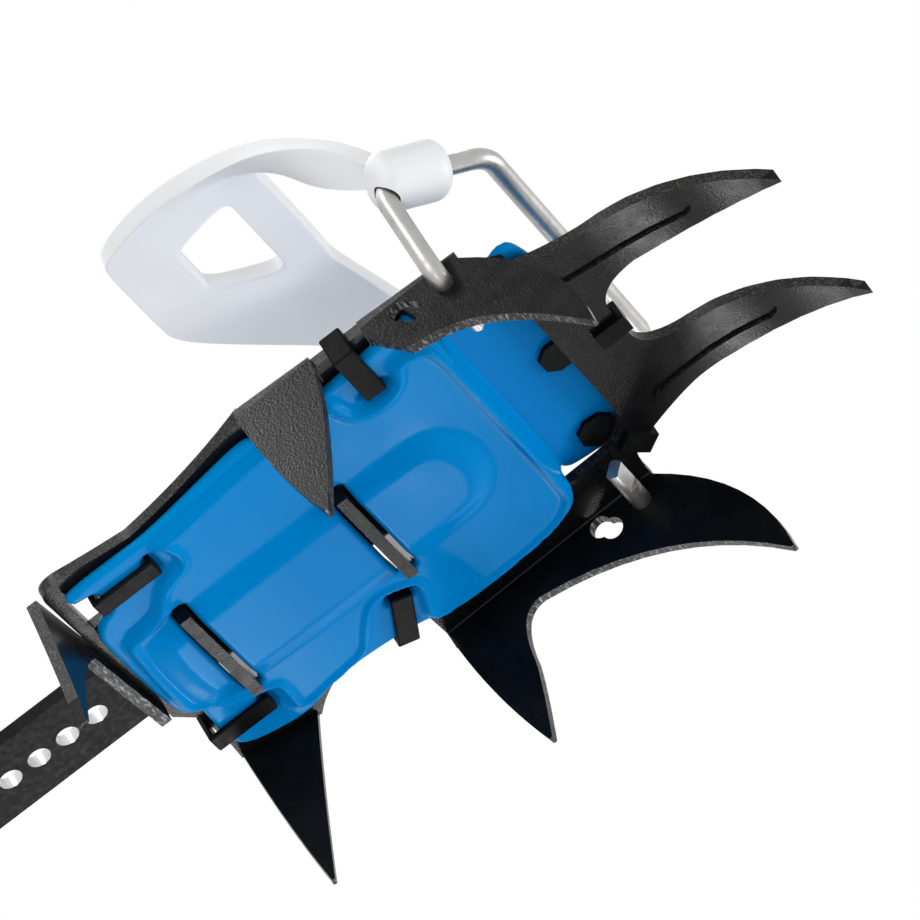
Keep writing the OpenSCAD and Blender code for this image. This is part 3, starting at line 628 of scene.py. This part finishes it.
def circle(place, first, second, radius, around):
    turns = [2 * np.pi * k / around for k in range(around)]
    return [place + radius * (np.cos(a) * first + np.sin(a) * second) for a in turns]


def tube_mesh(circles):
    """Skin over circles of points, closed at both ends."""
    around = len(circles[0])
    points = [p for one in circles for p in one]
    polygons = []
    for i in range(len(circles) - 1):
        for k in range(around):
            m = (k + 1) % around
            polygons.append((i * around + k, i * around + m, (i + 1) * around + m, (i + 1) * around + k))
    polygons += [tuple(range(around)), tuple(range(len(points) - around, len(points)))]
    return points, polygons


def barrel_mesh(side, around=40, steps=8, tip=0.01):
    start, end = (np.array(p) * (1, side, 1) for p in BARREL)
    axis = end - start
    length = np.linalg.norm(axis)
    axis = axis / length
    up = np.array((0, 0, 1))
    across = np.cross(axis, up)
    turns = np.pi / 2 * np.arange(steps + 1) / steps
    inner = BARREL_R - BARREL_ROUND
    profile = [(BARREL_ROUND * (1 - np.cos(a)), inner + BARREL_ROUND * np.sin(a)) for a in turns]
    profile = [(0, tip)] + profile + [(length - h, r) for h, r in profile[::-1]] + [(length, tip)]
    return tube_mesh([circle(start + axis * h, across, up, r, around) for h, r in profile])


def bore_mesh(side, around=24, steps=10, below=14, beyond=20):
    """Bore of a barrel: the wire's path from below the shoulder, round its bend and out along the bow."""
    corner, bow = np.array(LEG), np.array(BOW)
    out = (bow - corner) / np.linalg.norm(bow - corner)
    down = np.array((0, 0, -1.0))
    foot, start = corner + down * WIRE_BEND, corner + out * WIRE_BEND
    centre = foot + out * WIRE_BEND
    path = [(foot + down * below, -down)]
    for a in np.pi / 2 * np.arange(steps + 1) / steps:
        place = centre - WIRE_BEND * (np.cos(a) * out + np.sin(a) * down)
        path.append((place, np.sin(a) * out - np.cos(a) * down))
    path.append((start + out * beyond, out))
    flip = np.array((1, side, 1))
    across = np.cross(out, down)
    radius = WIRE_R + BORE_GAP
    circles = [circle(place, across, np.cross(ahead, across), radius, around) for place, ahead in path]
    return tube_mesh([[p * flip for p in one] for one in circles])


def apply_modifiers(piece):
    graph = bpy.context.evaluated_depsgraph_get()
    mesh = bpy.data.meshes.new_from_object(piece.evaluated_get(graph))
    piece.modifiers.clear()
    piece.data = mesh


def harness(material, sharpness=0.5, levels=3, split_angle=0.8):
    piece = new_piece("harness_shell", *band_mesh(), material)
    up = sum((f.normal.z for f in piece.data.polygons), 0.0)
    thick = piece.modifiers.new("thick", "SOLIDIFY")
    thick.thickness = HARNESS_T * MM
    thick.offset = -1.0 if up > 0 else 1.0
    thick.edge_crease_inner = thick.edge_crease_outer = sharpness
    soft = piece.modifiers.new("soft", "SUBSURF")
    soft.levels = soft.render_levels = levels
    apply_modifiers(piece)
    barrels = [new_piece("barrel", *barrel_mesh(side), material) for side in (1, -1)]
    bores = [new_piece("bore", *bore_mesh(side), material) for side in (1, -1)]
    for part, cuts in ((piece, bores), (barrels[0], bores[:1]), (barrels[1], bores[1:])):
        for bore in cuts:
            cut = part.modifiers.new("cut", "BOOLEAN")
            cut.operation = "DIFFERENCE"
            cut.object = bore
        apply_modifiers(part)
    for bore in bores:
        bpy.data.objects.remove(bore)
    bpy.ops.object.select_all(action="DESELECT")
    for part in barrels + [piece]:
        part.select_set(True)
    bpy.context.view_layer.objects.active = piece
    bpy.ops.object.join()
    for face in piece.data.polygons:
        face.use_smooth = True
    crease = piece.modifiers.new("crease", "EDGE_SPLIT")
    crease.split_angle = split_angle
    return piece


bpy.context.scene.view_settings.view_transform = "Standard"
make_camera()
for lamp in LAMPS:
    make_lamp(*lamp)
make_world()
make_floor()

COAT = powder_coat()
EDGE = sheared_edge()
BLUE = blue_plastic()
SATIN = black_satin()
BARE = bare_steel()
WIRE = satin_wire()
WHITE = white_plastic()

sheet = paint("toe_frame", COAT)
mark_edges(sheet, EDGE, EDGE_DEPTH * MM)
crisp(sheet, SWEEP)
for name in ("mid_cross_rib", "rear_cross_rib"):
    crisp(paint(name, COAT))
for name in NODES:
    if "clip" in name:
        round_edges(paint(name, SATIN), CLIP_ROUND * MM)
bar = paint("linking_bar", SATIN)
mark_holes(bar, BARE)
crisp(bar)
crisp(paint("toe_bail", WIRE), limit=0.6)
paint("antiball_plate", BLUE)
paint("toe_harness", WHITE)

plate = moulded_plate(BLUE)
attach(plate, "frame")
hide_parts("antiball_plate")
shell = harness(WHITE)
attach(shell, "bail")
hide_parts("toe_harness")
